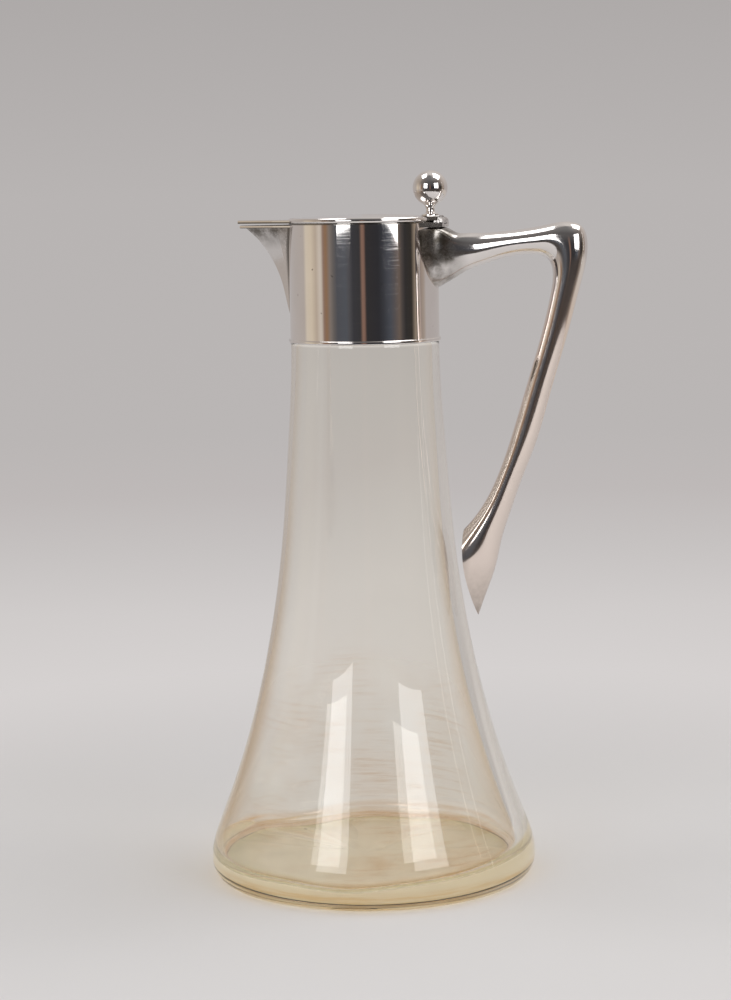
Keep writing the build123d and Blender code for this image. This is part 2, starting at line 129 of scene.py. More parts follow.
def blown_glass():
    """Clear soda glass, fire-polished, with the straw tint that shows where it is thick.
    Dried wine has left ochre streaks inside, about 30 mm long and 1.6 mm high, and the
    foot is ground dull."""
    material = bpy.data.materials.new("blown_glass")
    tree = new_tree(material)
    place = add(tree, "ShaderNodeTexCoord").outputs["Object"]
    parts = add(tree, "ShaderNodeSeparateXYZ", {"Vector": place})
    across, height = parts.outputs["X"], parts.outputs["Z"]
    inside = add(tree, "ShaderNodeAttribute", attribute_name="inside").outputs["Fac"]
    ground = add(tree, "ShaderNodeAttribute", attribute_name="ground_foot").outputs["Fac"]
    flat = add(tree, "ShaderNodeMapping", {"Vector": place, "Scale": (34.0, 34.0, 620.0)})
    streaks = add(tree, "ShaderNodeTexNoise", {
        "Vector": flat, "Scale": 1.0, "Detail": 4.0, "Roughness": 0.7})
    straw = add(tree, "ShaderNodeMix", {
        "Factor": straw_edge(tree, across, height, streaks, inside),
        "A": srgb("#FFFEFB"), "B": srgb("#E6C596")}, data_type="RGBA")
    tint = add(tree, "ShaderNodeMix", {
        "Factor": dried_wine(tree, place, height, streaks, inside),
        "A": straw, "B": srgb("#DEA860")}, data_type="RGBA")
    from_middle = add(tree, "ShaderNodeVectorMath", {0: place}, operation="LENGTH")
    outer_band = add(tree, "ShaderNodeMapRange", {
        "Value": from_middle, "From Min": 0.050, "From Max": 0.066})
    base = add(tree, "ShaderNodeMix", {
        "Factor": outer_band, "A": srgb("#ECE6DB"), "B": srgb("#CCC4A2")}, data_type="RGBA")
    colour = add(tree, "ShaderNodeMix", {"Factor": ground, "A": tint, "B": base}, data_type="RGBA")
    clear = add(tree, "ShaderNodeMapRange", {"Value": ground, "To Min": 1.0, "To Max": 0.4})
    dull = add(tree, "ShaderNodeMath", {0: ground, 1: 0.45}, operation="MULTIPLY")
    wall = add(tree, "ShaderNodeBsdfPrincipled", {
        "Base Color": colour, "Roughness": dull, "IOR": 1.52, "Transmission Weight": clear})
    shadow = add(tree, "ShaderNodeLightPath").outputs["Is Shadow Ray"]
    passed = add(tree, "ShaderNodeBsdfTransparent", {"Color": srgb("#EFEDE8")})
    surface = add(tree, "ShaderNodeMixShader", {0: shadow, 1: wall, 2: passed})
    body = add(tree, "ShaderNodeVolumeAbsorption", {"Color": srgb("#F2E7BC"), "Density": 6.0})
    add(tree, "ShaderNodeOutputMaterial", {"Surface": surface, "Volume": body})
    return material


def curve_through(points, start=None, end=None):
    """Function y(x) of the smooth line through points, with the slopes at its ends if given."""
    xs = [x for x, y in points]
    ys = [y for x, y in points]
    last = len(points) - 1
    gaps = [xs[i + 1] - xs[i] for i in range(last)]
    rates = [(ys[i + 1] - ys[i]) / gaps[i] for i in range(last)]
    rows = [[0, 1, 0, 0] if start is None
            else [0, 2 * gaps[0], gaps[0], 6 * (rates[0] - start)]]
    rows += [[gaps[i - 1], 2 * (gaps[i - 1] + gaps[i]), gaps[i], 6 * (rates[i] - rates[i - 1])]
             for i in range(1, last)]
    rows.append([0, 1, 0, 0] if end is None
                else [gaps[-1], 2 * gaps[-1], 0, 6 * (end - rates[-1])])
    for i in range(1, last + 1):
        share = rows[i][0] / rows[i - 1][1]
        rows[i][1] -= share * rows[i - 1][2]
        rows[i][3] -= share * rows[i - 1][3]
    bends = [0.0] * (last + 1)
    bends[last] = rows[last][3] / rows[last][1]
    for i in range(last - 1, -1, -1):
        bends[i] = (rows[i][3] - rows[i][2] * bends[i + 1]) / rows[i][1]

    def value(x):
        i = sum(x >= inner for inner in xs[1:-1])
        gap, left, right = gaps[i], x - xs[i], xs[i + 1] - x
        return (
            (bends[i] * right ** 3 + bends[i + 1] * left ** 3) / (6 * gap)
            + (ys[i] / gap - bends[i] * gap / 6) * right
            + (ys[i + 1] / gap - bends[i + 1] * gap / 6) * left
        )

    return value


def steps(start, end, count):
    """Even steps from start to end, without the start."""
    return [start + (end - start) * i / count for i in range(1, count + 1)]


def bezier_point(corners, t):
    """Point of the curve that starts at the first of four corners and ends at the last."""
    weights = ((1 - t) ** 3, 3 * t * (1 - t) ** 2, 3 * t * t * (1 - t), t ** 3)
    return [sum(w * corner[axis] for w, corner in zip(weights, corners)) for axis in (0, 1)]


def new_piece(name, verts, faces, material, body):
    """Smooth mesh object from points in millimetres, riding on a body. It is creased where
    its faces meet at more than 40 degrees."""
    mesh = bpy.data.meshes.new(name)
    mesh.from_pydata([(x / 1000, y / 1000, z / 1000) for x, y, z in verts], [], faces)
    mesh.materials.append(material)
    mesh.polygons.foreach_set("use_smooth", [True] * len(mesh.polygons))
    mesh.set_sharp_from_angle(angle=math.radians(40))
    piece = bpy.data.objects.new(name, mesh)
    bpy.context.scene.collection.objects.link(piece)
    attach(piece, body)
    return piece


foot_radius = 68.5
heel_radius = 74.46
heel_height = 9.0
neck_radius = 33.4
shoulder = (244.3, 245.3)           # the neck steps in to the rim between these heights
rim_top = 276.9
rim_outside = 31.4
rim_round = 0.6
bore_radius = 28.8
bore_top = rim_top - 2 * rim_round
bore_start = 252.0
bore_lean = math.radians(0.6)
wall_heel = 5.0
wall_neck = 2.6
# Share of the height from heel to shoulder, and of the heel's extra radius left there
flare = ((0.075, 0.885), (0.20, 0.628), (0.40, 0.333), (0.60, 0.153), (0.80, 0.057))
outside = curve_through(
    [(heel_height, heel_radius)]
    + [(heel_height + (shoulder[0] - heel_height) * share,
        neck_radius + (heel_radius - neck_radius) * extra) for share, extra in flare]
    + [(shoulder[0], neck_radius)], start=0.0, end=0.0)

# Azimuth from the handle, height of the inner floor, its radius, height of the corner
floor_shape = (
    (-180, 9.0, 54, 9), (-150, 8.2, 55, 8), (-126, 7.8, 55, 8), (-106, 8.0, 55, 8),
    (-84, 6.6, 55, 8), (-66, 7.8, 55, 8), (-44, 8.6, 55, 8), (-20, 9.2, 55, 9),
    (10, 9.4, 54, 9), (35, 10.8, 54, 9), (58, 10.8, 54, 9), (76, 9.0, 54, 9),
    (96, 8.8, 54, 9), (110, 8.0, 54, 9), (122, 6.0, 54, 9), (135, 6.0, 54, 9),
    (158, 9.6, 54, 9), (180, 9.0, 54, 9),
)
floor_middle = 7.6
floor_curves = [curve_through([(row[0], row[i]) for row in floor_shape], 0.0, 0.0)
                for i in (1, 2, 3)]
columns = 256                       # round the glass
wall_rings, corner_rings, floor_rings = 110, 24, 23     # down the inside


def wall_at(height):
    """Glass wall in mm, thinning evenly from the heel to the neck."""
    share = (height - heel_height) / (shoulder[0] - heel_height)
    return wall_heel + (wall_neck - wall_heel) * share


def inside_profile(azimuth):
    """Radius and height of the cavity from the rim down to the middle of its floor."""
    level, reach, rise = (curve(azimuth) for curve in floor_curves)
    line = [(bore_radius, z) for z in [bore_top] + steps(bore_top, bore_start, 8)]
    line += [(bore_radius + (neck_radius - wall_neck - bore_radius) * (1 - math.cos(a)) / 2,
              bore_start + (shoulder[0] - bore_start) * a / math.pi)
             for a in steps(0, math.pi, 12)]
    line += [(outside(z) - wall_at(z), z) for z in steps(shoulder[0], level + rise, wall_rings)]
    edge = line[-1]                 # the corner leaves the wall on its slope, and ends level
    steep = (edge[0] - line[-2][0]) / (edge[1] - line[-2][1])
    knee = (edge[0] - steep * rise * 0.75, edge[1] - rise * 0.75)
    toe = (max(reach, knee[0] - 4.0), level)
    line += [bezier_point((edge, knee, toe, (reach, level)), t) for t in steps(0, 1, corner_rings)]
    for share in steps(1, 0, floor_rings + 1)[:-1]:
        swell = share ** 2 * (3 - 2 * share)
        line.append((reach * share, floor_middle + (level - floor_middle) * swell))
    return line


def outside_profile():
    """Radius and height of the outer face, from the foot's edge up and over the rim."""
    line = [(r, 0.0) for r in steps(0, foot_radius, 12)]
    line += [(foot_radius + (heel_radius - foot_radius) * math.sin(a),
              heel_height * (1 - math.cos(a))) for a in steps(0, math.pi / 2, 16)]
    line += [(outside(z), z) for z in steps(heel_height, shoulder[0], 150)]
    line += [(neck_radius + (rim_outside - neck_radius) * (1 - math.cos(a)) / 2,
              shoulder[0] + (shoulder[1] - shoulder[0]) * a / math.pi)
             for a in steps(0, math.pi, 8)]
    line += [(rim_outside, z) for z in steps(shoulder[1], rim_top - rim_round, 8)]
    line += [(rim_outside - rim_round * (1 - math.cos(a)), rim_top - rim_round * (1 - math.sin(a)))
             for a in steps(0, math.pi / 2, 6)]
    line += [(bore_radius + rim_round * (1 - math.sin(a)), rim_top - rim_round * (1 - math.cos(a)))
             for a in [0] + steps(0, math.pi / 2, 6)]
    return line


verts = [(0.0, 0.0, 0.0)]
faces = []
outer = outside_profile()
for column in range(columns):
    azimuth = column * 360 / columns - 180
    c, s = math.cos(math.radians(azimuth)), math.sin(math.radians(azimuth))
    verts += [(r * c, r * s, z) for r, z in outer]
    verts += [(r * c - (rim_top - z) * math.tan(bore_lean), r * s, z)
              for r, z in inside_profile(azimuth)]
rows = (len(verts) - 1) // columns
verts.append((-rim_top * math.tan(bore_lean), 0.0, floor_middle))
for column in range(columns):
    one, two = 1 + column * rows, 1 + (column + 1) % columns * rows
    faces.append((0, two, one))
    faces += [(one + i, two + i, two + i + 1, one + i + 1) for i in range(rows - 1)]
    faces.append((one + rows - 1, two + rows - 1, len(verts) - 1))

seed_x, seed_y, seed_z = -42.4, 42.0, 4.4       # a seed, or small bubble, in the floor
seed_radius, belts, girth = 0.9, 8, 16
first = len(verts)
verts += [(seed_x, seed_y, seed_z - seed_radius), (seed_x, seed_y, seed_z + seed_radius)]
for belt in range(1, belts):
    fall = math.pi * belt / belts
    wide, drop = seed_radius * math.sin(fall), seed_radius * math.cos(fall)
    verts += [(seed_x + wide * math.cos(math.tau * i / girth),
               seed_y + wide * math.sin(math.tau * i / girth), seed_z - drop)
              for i in range(girth)]
for i in range(girth):
    one, two = first + 2 + i, first + 2 + (i + 1) % girth
    faces.append((first, one, two))
    faces += [(one + girth * k, one + girth * (k + 1), two + girth * (k + 1), two + girth * k)
              for k in range(belts - 2)]
    faces.append((first + 1, two + girth * (belts - 2), one + girth * (belts - 2)))
glass = new_piece("glass_vessel", verts, faces, blown_glass(), "jug")

# Rings from the edge of the inner floor up to each tide line, and rings it fades over
tide_lines = ((10, 1.7), (19, 2.0))
floor_edge = rows - floor_rings
within = [0.0] + [float(i % rows >= len(outer)) for i in range(columns * rows)] + [1.0]
within += [0.0] * (len(verts) - first)
tide = [0.0] + [
    sum(math.exp(-((i % rows - floor_edge + lift) / blur) ** 2) for lift, blur in tide_lines)
    for i in range(columns * rows)] + [0.0] * (1 + len(verts) - first)
on_table = [float(face.center.z < 1e-6) for face in glass.data.polygons]
for name, domain, values in (("inside", "POINT", within), ("tide_line", "POINT", tide),
                             ("ground_foot", "FACE", on_table)):
    glass.data.attributes.new(name, "FLOAT", domain).data.foreach_set("value", values)
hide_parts("glass_body")


def finish_node(name, material):
    """Gives a CAD node its finish."""
    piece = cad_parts[name]
    piece.data.materials.clear()
    piece.data.materials.append(material)


finish_node("glass_body", glass.data.materials[0])

# ---------------------------------------------------------------- cement bed
# Plaster of Paris poured between glass and collar. It shows as a dull pale band
# through the glass under the collar's edge.


def plaster():
    """Set plaster: matt, off-white, with a grain of about 1 mm, which is coarser than the
    real one so that it shows."""
    material = bpy.data.materials.new("plaster_cement")
    tree = new_tree(material)
    place = add(tree, "ShaderNodeTexCoord").outputs["Object"]
    grain = add(tree, "ShaderNodeTexNoise", {"Vector": place, "Scale": 900.0, "Detail": 4.0})
    tone = add(tree, "ShaderNodeMix", {
        "Factor": grain, "A": srgb("#C9BFAE"), "B": srgb("#E2DACB")}, data_type="RGBA")
    bump = add(tree, "ShaderNodeBump", {"Strength": 0.5, "Distance": 0.0002, "Height": grain})
    chalk = add(tree, "ShaderNodeBsdfPrincipled", {
        "Base Color": tone, "Roughness": 0.9, "Normal": bump})
    add(tree, "ShaderNodeOutputMaterial", {"Surface": chalk})
    return material


finish_node("neck_cement", plaster())

# ---------------------------------------------------------------- collar
# A tube of electroplated brass with a thin wire soldered round its lower edge, and a
# spun liner over the glass rim inside it. Hand polishing has left faint hairlines.


def silver_plate(name, gloss, tarnish_and_shade_mask=None, painted_reflection=None, hairlines=0.08):
    """Polished silver plate: near-white metal that mirrors the room, broken a little by hairlines
    and a breath of tarnish. The dark mask lays dark sulphide where the cloth can't reach, and on
    some pieces painted shade in seams, creases and hollows. The peach mask is a painted reflection,
    which warms the metal to peach. The clouds are about 17 mm across. The hairlines are 0.4 mm,
    coarser than real ones, so that they show."""
    material = bpy.data.materials.new(name)
    tree = new_tree(material)
    place = add(tree, "ShaderNodeTexCoord").outputs["Object"]
    cloud = add(tree, "ShaderNodeTexNoise", {"Vector": place, "Scale": 60.0, "Detail": 3.0})
    colour = add(tree, "ShaderNodeMix", {
        "Factor": cloud, "A": srgb("#F0ECEA"), "B": srgb("#E6E1DE")}, data_type="RGBA")
    fine = add(tree, "ShaderNodeMapping", {"Vector": place, "Scale": (60.0, 60.0, 2400.0)})
    hairs = add(tree, "ShaderNodeTexNoise", {"Vector": fine, "Scale": 1.0, "Detail": 2.0})
    rub = add(tree, "ShaderNodeMapRange", {
        "Value": cloud, "To Min": gloss * 0.7, "To Max": gloss * 1.4})
    scratch = add(tree, "ShaderNodeMapRange", {
        "Value": hairs, "From Min": 0.55, "From Max": 0.75, "To Max": hairlines})
    rough = add(tree, "ShaderNodeMath", {0: rub, 1: scratch}, operation="ADD")
    # Painted reflection: a peach tint that stands in for warm light the metal mirrors
    if painted_reflection:
        colour = add(tree, "ShaderNodeMix", {
            "Factor": painted_reflection(tree, place), "A": colour, "B": srgb("#F0E2D8")}, data_type="RGBA")
    # Dark sulphide, and painted shade where the mask marks seams, creases and hollows
    if tarnish_and_shade_mask:
        dark = tarnish_and_shade_mask(tree, place)
        colour = add(tree, "ShaderNodeMix", {
            "Factor": dark, "A": colour, "B": srgb("#4E473C")}, data_type="RGBA")
        rough = add(tree, "ShaderNodeMath", {0: dark, 1: 0.22, 2: rough}, operation="MULTIPLY_ADD")
    metal = add(tree, "ShaderNodeBsdfPrincipled", {
        "Base Color": colour, "Metallic": 1.0, "Roughness": rough})
    add(tree, "ShaderNodeOutputMaterial", {"Surface": metal})
    return material


def in_patches(tree, place, mask, size, least=0.0):
    """Breaks a mask up with noise whose blotches are about as large as size, in mm."""
    noise = add(tree, "ShaderNodeTexNoise", {
        "Vector": place, "Scale": 1000.0 / size, "Detail": 5.0, "Roughness": 0.6})
    share = add(tree, "ShaderNodeMapRange", {
        "Value": noise, "From Min": 0.38, "From Max": 0.62, "To Min": least})
    return add(tree, "ShaderNodeMath", {0: mask, 1: share}, operation="MULTIPLY")


def pits(tree, place):
    """A few dark pinholes, under 1 mm, where the plate is worn through."""
    noise = add(tree, "ShaderNodeTexNoise", {"Vector": place, "Scale": 420.0, "Detail": 1.0})
    return add(tree, "ShaderNodeMapRange", {
        "Value": noise, "From Min": 0.77, "From Max": 0.82, "To Max": 0.6})


def mask_between_heights(tree, place, clean, covered):
    """A mask that grows from nothing at one height, in metres, to nearly all at another. It lays a
    dulled film, painted shade lines and a painted reflection.
    """
    height = add(tree, "ShaderNodeSeparateXYZ", {"Vector": place}).outputs["Z"]
    return add(tree, "ShaderNodeMapRange", {
        "Value": height, "From Min": clean, "From Max": covered, "To Max": 0.9})


def collar_pits_and_seam_shade(tree, place):
    """Pinholes, and a dark line of painted shade at the top, for the gap where the lid closes on
    the collar.
    """
    # The line at the top edge is painted shade for the gap under the lid
    return add(tree, "ShaderNodeMath", {
        0: pits(tree, place), 1: mask_between_heights(tree, place, 0.2968, 0.2972)}, operation="MAXIMUM")


finish_node("collar_band", silver_plate("silver_plate_collar", 0.035, collar_pits_and_seam_shade))
finish_node("collar_foot_wire", silver_plate("silver_plate_foot_wire", 0.08))
finish_node("neck_liner", silver_plate("silver_plate_liner", 0.12))

# ---------------------------------------------------------------- spout
# Raised from sheet, folded down each side and soldered to the collar, with a wire round its lip.
# The joint and the hollow under the lip are darkened by old polish and by painted shade.


def from_axis(tree, place):
    """Distance in metres from the upright line through the middle of the jug."""
    level = add(tree, "ShaderNodeVectorMath", {0: place, 1: (1.0, 1.0, 0.0)}, operation="MULTIPLY")
    return add(tree, "ShaderNodeVectorMath", {0: level}, operation="LENGTH")


def polish_and_crease_shade(tree, place):
    """Darkening along the joint with the collar and under the lip: old polish residue together with
    painted shade in the crease and under the lip's overhang.
    """
    height = add(tree, "ShaderNodeSeparateXYZ", {"Vector": place}).outputs["Z"]
    # Painted shade in the crease where the spout meets the collar
    joint = add(tree, "ShaderNodeMapRange", {
        "Value": from_axis(tree, place), "From Min": 0.0352, "From Max": 0.0340})
    # Painted shade growing towards the overhang of the lip
    under = add(tree, "ShaderNodeMapRange", {
        "Value": height, "From Min": 0.2855, "From Max": 0.2945})
    dark = add(tree, "ShaderNodeMath", {
        0: joint, 1: in_patches(tree, place, under, 4.0, 0.45)}, operation="MAXIMUM")
    return add(tree, "ShaderNodeMath", {0: dark, 1: 0.85}, operation="MULTIPLY")


def shade_under_lip(tree, place):
    """Dark line of painted shade under the edge of the lip, where the wire is soldered."""
    return mask_between_heights(tree, place, 0.2961, 0.2958)


finish_node("spout_body", silver_plate("silver_plate_spout", 0.12, polish_and_crease_shade))
finish_node("spout_lip_wire", silver_plate("silver_plate_lip_wire", 0.07, shade_under_lip))

# ---------------------------------------------------------------- handle
# Cast hollow in one piece and soldered to the collar: a trumpet root with a flat top,
# an arm that dips to an elbow, and a tapered tail whose end is filed to clear the glass.

collar_radius = 33.6
solder = 33.55                      # just inside the collar's face
platform = 295.1                    # height of the root's flat top
root_edge = 1.6                     # depth of the rounded edge of that top
root_flank, root_belly = 0.7, 0.95  # how full its sides and its underside are
oval = 0.56                         # how full the arm's section is, nearly an ellipse
# Points of the outer and inner outline, out from the collar and down from the
# platform, and the half-width between them. The first four make the root.
handle_line = (
    ((-6.6, 0.0), (-6.6, 27.6), 19.4), ((-3.1, 0.0), (-3.1, 27.6), 15.0),
    ((0.4, 0.0), (0.4, 26.8), 10.5), ((4.4, 0.4), (4.4, 24.8), 8.0),
    ((8.6, 2.4), (8.0, 22.8), 7.2), ((13.6, 2.9), (13.0, 19.8), 6.7),
    ((20.0, 2.9), (20.0, 17.1), 6.4), ((29.0, 2.4), (29.0, 14.4), 6.4),
    ((39.0, 1.4), (38.4, 12.7), 6.7), ((50.0, -0.4), (45.0, 12.7), 7.1),
    ((59.5, -1.5), (48.6, 13.5), 7.3), ((65.4, 0.6), (50.8, 15.4), 7.4),
    ((67.7, 7.1), (52.0, 18.4), 7.3), ((67.1, 16.1), (52.3, 22.4), 7.0),
    ((64.2, 27.5), (51.8, 27.2), 6.7), ((59.3, 45.6), (48.4, 42.6), 6.3),
    ((50.7, 74.1), (40.1, 70.8), 6.1), ((43.5, 97.6), (32.8, 94.3), 6.2),
    ((37.3, 113.1), (27.3, 109.5), 6.5), ((32.1, 127.6), (20.5, 123.3), 7.0),
    ((28.1, 139.6), (13.3, 133.0), 7.7), ((24.9, 153.1), (4.5, 141.6), 8.2),
    ((20.9, 164.1), (-2.5, 149.0), 7.2), ((17.4, 173.6), (-6.0, 158.0), 4.6),
    ((14.6, 181.5), (-7.0, 167.0), 1.6),
)
filed_end = ((176.0, 7.0), (152.0, 5.0), (136.0, 6.1))   # down, and air beside the glass

marks = [0.0]                       # run along the middle of the handle to each point
middles = [((a[0] + b[0]) / 2, (a[1] + b[1]) / 2) for a, b, half in handle_line]
for one, two in zip(middles, middles[1:]):
    marks.append(marks[-1] + math.dist(one, two))
handle_curves = [curve_through(list(zip(marks, values)))
                 for values in zip(*((*a, *b, half) for a, b, half in handle_line))]
root_run, arm_run = marks[2], marks[6]          # the section turns from root to arm here
flare_end, tail_start = marks[4], marks[18]
flare_rings, arm_rings, tail_rings = 14, 170, 60
quarter = 14                        # points round a quarter of the section
section = 4 * quarter
halvings = 34                       # in the search for where a line meets a face

filed_heights = [platform - down for down, gap in filed_end]
filed_face = curve_through(
    [(z, outside(z) + gap) for z, (down, gap) in zip(filed_heights, filed_end)])


def handle_point(run, k):
    """Point k of the section at a run along the handle, from its top round by +Y."""
    out_x, out_z, in_x, in_z, half = (curve(run) for curve in handle_curves)
    share = max(0.0, min(1.0, (run - root_run) / (arm_run - root_run)))
    share = share * share * (3 - 2 * share)
    edge = root_edge / math.dist((out_x, out_z), (in_x, in_z))
    mirror = k > 2 * quarter
    k = section - k if mirror else k
    if k <= quarter:
        root = ((0, 0), (root_flank, 0), (1, 0), (1, edge))
        arm = ((0, 0), (oval, 0), (1, 0.5 - 0.5 * oval), (1, 0.5))
        t = k / quarter
    else:
        root = ((1, edge), (1, root_flank), (root_flank, root_belly), (0, 1))
        arm = ((1, 0.5), (1, 0.5 + 0.5 * oval), (oval, 1), (0, 1))
        t = k / quarter - 1
    corners = [[a + (b - a) * share for a, b in zip(*pair)] for pair in zip(root, arm)]
    across, down = bezier_point(corners, t)
    return (collar_radius + out_x + (in_x - out_x) * down,
            half * across * (-1 if mirror else 1),
            platform - out_z - (in_z - out_z) * down)


def beyond_collar(point):
    """How far a point lies outside the solder line on the collar."""
    return math.hypot(point[0], point[1]) - solder


def beyond_glass(point):
    """How far a point lies outside the filed end of the handle."""
    z = max(filed_heights[0], min(filed_heights[-1], point[2]))
    slope = (filed_face(z + 0.1) - filed_face(z - 0.1)) / 0.2
    return point[0] - filed_face(z) - slope * (point[2] - z)


def crossing(k, low, high, test):
    """Run along line k of the handle where a test turns from its sign at low."""
    first = test(handle_point(low, k)) > 0
    for halving in range(halvings):
        middle = (low + high) / 2
        if (test(handle_point(middle, k)) > 0) == first:
            low = middle
        else:
            high = middle
    return (low + high) / 2


starts = [crossing(k, 0.0, marks[3], beyond_collar) for k in range(section)]
ends = [crossing(k, tail_start, marks[-1], beyond_glass) for k in range(section)]
rings = [[a + (flare_end - a) * i / flare_rings for a in starts] for i in range(flare_rings)]
rings += [[flare_end + (tail_start - flare_end) * i / arm_rings] * section
          for i in range(arm_rings)]
rings += [[tail_start + (b - tail_start) * i / tail_rings for b in ends]
          for i in range(tail_rings + 1)]
verts = [handle_point(ring[k], k) for ring in rings for k in range(section)]
faces = [
    (i + k, i + (k + 1) % section, i + section + (k + 1) % section, i + section + k)
    for i in range(0, (len(rings) - 1) * section, section) for k in range(section)
]
tail = (len(rings) - 1) * section   # the last ring is closed by strips across it
faces += [(tail + 1, tail, tail + section - 1),
          (tail + 2 * quarter, tail + 2 * quarter - 1, tail + 2 * quarter + 1)]
faces += [(tail + k + 1, tail + k, tail + section - k, tail + section - k - 1)
          for k in range(1, 2 * quarter - 1)]
strips = 10                         # the first ring is closed on the collar's curve
solder_grid = []
for k in range(2 * quarter + 1):
    one, two = verts[k], verts[(section - k) % section]
    row = [k]
    if k not in (0, 2 * quarter):
        for i in range(1, strips):
            y = one[1] + (two[1] - one[1]) * i / strips
            verts.append((math.sqrt(solder ** 2 - y * y), y, one[2]))
            row.append(len(verts) - 1)
        row.append(section - k)
    solder_grid.append(row)
for one, two in zip(solder_grid, solder_grid[1:]):
    if len(one) == 1:
        faces += [(one[0], two[i + 1], two[i]) for i in range(strips)]
    elif len(two) == 1:
        faces += [(one[i], one[i + 1], two[0]) for i in range(strips)]
    else:
        faces += [(one[i], one[i + 1], two[i + 1], two[i]) for i in range(strips)]


def root_shade_and_tarnish(tree, place):
    """Dark corners round the root, partly tarnish and partly painted shade, darkest in the hollow
    under its flat top, where it is painted shade, and fading out along the arm; and a dulled tip."""
    out = from_axis(tree, place)
    height = add(tree, "ShaderNodeSeparateXYZ", {"Vector": place}).outputs["Z"]
    # Tarnish, with painted shade, in the corner against the collar
    near = add(tree, "ShaderNodeMapRange", {
        "Value": out, "From Min": 0.050, "From Max": 0.037, "To Max": 0.8})
    # Painted shade in the hollow under the flat top
    hollow = add(tree, "ShaderNodeMapRange", {
        "Value": out, "From Min": 0.046, "From Max": 0.042, "To Max": 0.95})
    high = add(tree, "ShaderNodeMapRange", {"Value": height, "From Min": 0.276, "From Max": 0.281})
    hollow = add(tree, "ShaderNodeMath", {0: hollow, 1: high}, operation="MULTIPLY")
    root = add(tree, "ShaderNodeMath", {
        0: in_patches(tree, place, near, 7.0, 0.25),
        1: in_patches(tree, place, hollow, 3.0, 0.7)}, operation="MAXIMUM")
    tip = in_patches(tree, place, mask_between_heights(tree, place, 0.145, 0.110), 3.0, 0.5)
    tip = add(tree, "ShaderNodeMath", {0: tip, 1: 0.8}, operation="MULTIPLY")
    return add(tree, "ShaderNodeMath", {0: root, 1: tip}, operation="MAXIMUM")


def tail_painted_reflection(tree, place):
    """Painted reflection below the elbow: a peach tint that stands in for the warm surroundings the
    metal mirrors there.
    """
    return mask_between_heights(tree, place, 0.275, 0.255)


handle = new_piece(
    "cast_handle", verts, faces,
    silver_plate("silver_plate_handle", 0.085, root_shade_and_tarnish, tail_painted_reflection, hairlines=0.02),
    "jug")
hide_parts("handle")
finish_node("handle", handle.data.materials[0])

# ---------------------------------------------------------------- hinge
# Three knuckles on one pin: a base soldered to the collar and a leaf under the lid's edge. Polish
# and tarnish lie in blotches all over them.


def knuckle_tarnish(tree, place):
    """Blotches of tarnish that a cloth never reaches."""
    return in_patches(tree, place, 0.7, 3.0, 0.2)


hinge_silver = silver_plate("silver_plate_hinge", 0.12, knuckle_tarnish)
for name in ("hinge_base", "hinge_pin", "lid_hinge_leaf"):
    finish_node(name, hinge_silver)

# ---------------------------------------------------------------- lid
# A low spun dome with a wire round its rim and a flat tongue over the spout. The ball
# thumbpiece is turned solid and riveted to the leaf above the hinge.

lid_silver = silver_plate("silver_plate_lid", 0.07, pits)
thumb_silver = silver_plate("silver_plate_thumb", 0.06, pits)
tongue_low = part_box("lid_spout_cover")[0][2]


def shade_under_tongue(tree, place):
    """Dark line of painted shade along the lower edge of the tongue, where it meets the spout."""
    return mask_between_heights(tree, place, tongue_low + 0.0009, tongue_low + 0.0004)


for name in ("lid_cover", "lid_rim_wire", "lid_locating_flange"):
    finish_node(name, lid_silver)
finish_node("lid_spout_cover", silver_plate("silver_plate_tongue", 0.08, shade_under_tongue))
for name in ("thumb_ball", "thumb_foot"):
    finish_node(name, thumb_silver)

# ---------------------------------------------------------------- studio
# A pale floor under a pale backdrop, two upright soft boxes in front, two overhead and
# a narrow bright doorway at the right. The room in front is dark, as the metal shows.

front_azimuth = math.radians(14.0)
front = Vector((math.sin(front_azimuth), -math.cos(front_azimuth), 0))
side = Vector((math.cos(front_azimuth), math.sin(front_azimuth), 0))
up = Vector((0, 0, 1))
lit_point = Vector((0, 0, 0.3))
upright_glow, overhead_glow, doorway_glow = 3.8, 3.2, 1.6


def soft_box(name, direction, width, height, distance, glow, lean=0.0):
    """Rectangular lamp that faces the top of the jug, leaning by some degrees."""
    lamp = bpy.data.lights.new(name, "AREA")
    lamp.shape = "RECTANGLE"
    lamp.size = width
    lamp.size_y = height
    lamp.energy = glow * math.pi * width * height
    box = bpy.data.objects.new(name, lamp)
    bpy.context.scene.collection.objects.link(box)
    box.location = lit_point + direction.normalized() * distance
    box.rotation_euler = (
        direction.to_track_quat("Z", "Y") @ Quaternion((0, 0, 1), math.radians(lean))).to_euler()
    box.visible_camera = False


def towards(azimuth, elevation):
    """Direction from the jug, azimuth counted from the front to the right."""
    a, e = math.radians(azimuth), math.radians(elevation)
    return (front * math.cos(a) + side * math.sin(a)) * math.cos(e) + up * math.sin(e)


soft_box("box_left", towards(-30.3, 13.4), 0.345, 0.465, 0.90, upright_glow, lean=1.0)
soft_box("box_right", towards(41.5, 13.4), 0.406, 0.465, 0.90, upright_glow, lean=-3.5)
soft_box("door_edge", towards(89.0, 6.0), 0.022, 0.9, 1.2, doorway_glow)
soft_box("box_top_left", side * -0.62 - front * 0.14 + up * 1.4, 0.84, 0.60, 1.53, overhead_glow)
soft_box("box_top_right", side * 0.82 - front * 0.14 + up * 1.4, 1.10, 0.88, 1.62, overhead_glow)

